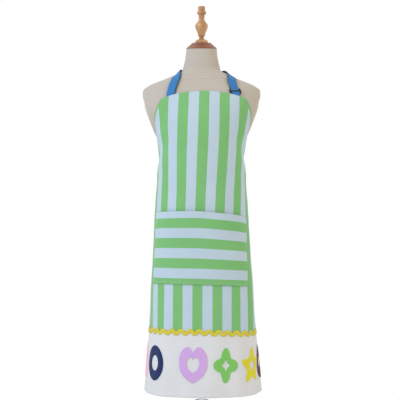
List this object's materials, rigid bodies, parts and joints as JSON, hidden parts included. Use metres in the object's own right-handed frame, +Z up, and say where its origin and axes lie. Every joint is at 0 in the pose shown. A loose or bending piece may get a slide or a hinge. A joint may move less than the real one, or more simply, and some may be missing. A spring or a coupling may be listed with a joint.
{
  "type": "bib apron on a dress form",
  "caption": "Striped bib apron with a front pocket, trimmed border and adjustable neck strap, worn by a headless dress form on a round-based telescoping stand.",
  "frame": {"origin": "on the floor, under the centre of the stand's pole", "axes": "+Z up along the pole, -Y towards the viewer who faces the apron's front, +X to that viewer's right"},
  "size_m": [0.4, 0.4, 1.6312],
  "materials": {
    "base_metal": "satin powder coat",
    "foot_rubber": "matte",
    "steel": "plain zinc",
    "pole_chrome": "polished",
    "collar_plastic": "moulded",
    "board_wood": "raw board",
    "form_fabric": "beige jersey over a padded shell",
    "cap_wood": "brown stain, satin",
    "finial_wood": "turned, clear satin",
    "striped_cotton": "cotton canvas, woven green and pale blue stripes",
    "border_cotton": "cotton canvas, off-white",
    "trim_yellow": "woven ric-rac",
    "applique_felt": "sewn cut-outs in several colours",
    "strap_blue": "woven webbing",
    "strap_dark": "woven tape",
    "slider_plastic": "gloss black"
  },
  "bodies": {
    "stand": {"base_plate": "base_metal", "base_feet": "foot_rubber", "pole_flange": "base_metal", "flange_screws": "steel", "lower_tube": "pole_chrome", "clamp_collar": "collar_plastic"},
    "knob": {"clamp_screw": "steel", "clamp_knob": "collar_plastic"},
    "mast": {"inner_tube": "pole_chrome", "tube_plug": "collar_plastic"},
    "form": {"pole_socket": "base_metal", "socket_screws": "steel", "bottom_board": "board_wood", "torso_shell": "form_fabric", "left_arm_plate": "form_fabric", "right_arm_plate": "form_fabric", "neck_block": "board_wood", "neck_cap": "cap_wood", "finial": "finial_wood", "finial_stud": "steel", "striped_panel": "striped_cotton", "border_panel": "border_cotton", "pocket": "striped_cotton", "ric_rac_trim": "trim_yellow", "appliques": "applique_felt", "neck_strap": "strap_blue", "strap_lining": "strap_dark", "left_waist_tie": "strap_blue", "right_waist_tie": "strap_blue", "tie_bow": "strap_blue"},
    "slider": {"strap_slider": "slider_plastic"}
  },
  "joints": [
    {"name": "height_slide", "type": "slide", "parent": "stand", "child": "mast", "axis": [0, 0, 1], "range_m": [-0.1, 0.2]},
    {"name": "form_swivel", "type": "hinge", "parent": "mast", "child": "form", "pos_m": [0, 0, 0.75], "axis": [0, 0, 1], "continuous": true},
    {"name": "clamp_turn", "type": "hinge", "parent": "stand", "child": "knob", "pos_m": [0, 0.03, 0.371], "axis": [0, 1, 0], "range_deg": [0, 360]},
    {"name": "slider_travel", "type": "slide", "parent": "form", "child": "slider", "axis": [-0.2353, 0.3562, 0.9043], "range_m": [0, 0.026]}
  ]
}
